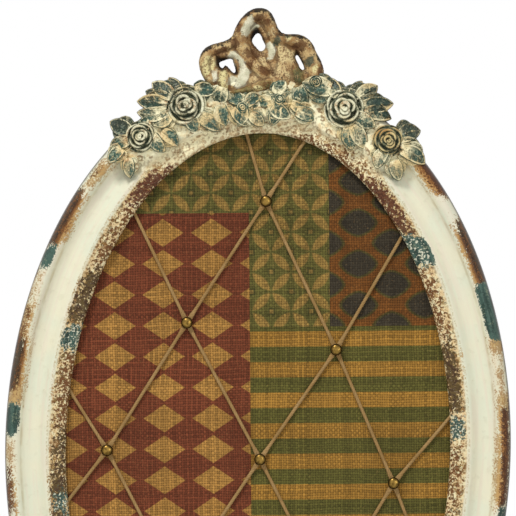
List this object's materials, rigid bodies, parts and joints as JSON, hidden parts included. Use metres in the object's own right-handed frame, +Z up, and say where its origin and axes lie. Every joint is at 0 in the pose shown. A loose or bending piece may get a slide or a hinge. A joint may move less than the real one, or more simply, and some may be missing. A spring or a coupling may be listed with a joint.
{
  "type": "oval pin board",
  "caption": "Oval wall pin board: a moulded frame crested with roses, leaves and a ribbon bow, round a padded burlap panel crossed by tacked twine.",
  "frame": {"origin": "on the wall plane, midway between the two wall hooks that the hanger rings hang on", "axes": "+X to the viewer's right, +Z up, -Y out of the wall towards the viewer; the wall is the plane Y = 0"},
  "size_m": [0.432, 0.0483, 0.6939],
  "materials": {
    "moulding_paint": "cast resin, cream paint rubbed back over rust, gold and blue-green, waxed",
    "ribbon_paint": "cast resin, ochre and dark brown paint with cream inside the loops",
    "rose_paint": "cast resin, cream crests over a grey-brown wash",
    "leaf_paint": "cast resin, dark blue-green wash with cream edges",
    "printed_burlap": "coarse plain-weave burlap with a printed patchwork pattern",
    "wadding": "thin polyester wadding",
    "fibreboard": "soft wood-fibre board that takes pins",
    "hardboard": "smooth brown hardboard",
    "jute_twine": "twisted natural jute",
    "old_brass": "antiqued brass domes",
    "zinc_steel": "zinc-plated steel",
    "black_steel": "black lacquered steel strip",
    "rubber": "matt moulded rubber"
  },
  "bodies": {
    "board": {"oval_moulding": "moulding_paint", "ribbon_bow": "ribbon_paint", "burlap_cover": "printed_burlap", "wadding_layer": "wadding", "fibreboard_core": "fibreboard", "backing_panel": "hardboard", "leaves_large_left": "leaf_paint", "leaves_large_right": "leaf_paint", "leaves_small_left": "leaf_paint", "leaves_small_right": "leaf_paint", "leaves_centre_left": "leaf_paint", "leaves_centre_right": "leaf_paint", "rose_large_left": "rose_paint", "rose_large_right": "rose_paint", "rose_small_left": "rose_paint", "rose_small_right": "rose_paint", "twine_fall_right": "jute_twine", "twine_fall_middle": "jute_twine", "twine_fall_left": "jute_twine", "twine_rise_left": "jute_twine", "twine_rise_middle": "jute_twine", "twine_rise_right": "jute_twine", "brass_tack_1": "old_brass", "brass_tack_2": "old_brass", "brass_tack_3": "old_brass", "brass_tack_4": "old_brass", "brass_tack_5": "old_brass", "brass_tack_6": "old_brass", "brass_tack_7": "old_brass", "brass_tack_8": "old_brass", "brass_tack_9": "old_brass", "staple_1": "zinc_steel", "staple_2": "zinc_steel", "staple_3": "zinc_steel", "staple_4": "zinc_steel", "staple_5": "zinc_steel", "staple_6": "zinc_steel", "staple_7": "zinc_steel", "staple_8": "zinc_steel", "staple_9": "zinc_steel", "staple_10": "zinc_steel", "staple_11": "zinc_steel", "staple_12": "zinc_steel", "button_screw_1": "zinc_steel", "button_screw_2": "zinc_steel", "button_screw_3": "zinc_steel", "button_screw_4": "zinc_steel", "hanger_strap_left": "zinc_steel", "hanger_strap_right": "zinc_steel", "hanger_screw_left": "zinc_steel", "hanger_screw_right": "zinc_steel", "wall_bumper_left": "rubber", "wall_bumper_right": "rubber"},
    "turn_button_1": {"turn_button_1": "black_steel"},
    "turn_button_2": {"turn_button_2": "black_steel"},
    "turn_button_3": {"turn_button_3": "black_steel"},
    "turn_button_4": {"turn_button_4": "black_steel"},
    "hanger_ring_left": {"hanger_ring_left": "zinc_steel"},
    "hanger_ring_right": {"hanger_ring_right": "zinc_steel"}
  },
  "joints": [
    {"name": "button_turn_1", "type": "hinge", "parent": "board", "child": "turn_button_1", "pos_m": [0, -0.0035, 0.07318], "axis": [0, 1, 0], "continuous": true},
    {"name": "button_turn_2", "type": "hinge", "parent": "board", "child": "turn_button_2", "pos_m": [-0.182, -0.0035, -0.21282], "axis": [0, 1, 0], "continuous": true},
    {"name": "button_turn_3", "type": "hinge", "parent": "board", "child": "turn_button_3", "pos_m": [0, -0.0035, -0.49882], "axis": [0, 1, 0], "continuous": true},
    {"name": "button_turn_4", "type": "hinge", "parent": "board", "child": "turn_button_4", "pos_m": [0.182, -0.0035, -0.21282], "axis": [0, 1, 0], "continuous": true},
    {"name": "ring_swing_left", "type": "hinge", "parent": "board", "child": "hanger_ring_left", "pos_m": [-0.14898, -0.00235, -0.013], "axis": [1, 0, 0], "range_deg": [0, 176]},
    {"name": "ring_swing_right", "type": "hinge", "parent": "board", "child": "hanger_ring_right", "pos_m": [0.14898, -0.00235, -0.013], "axis": [1, 0, 0], "range_deg": [0, 176]}
  ]
}
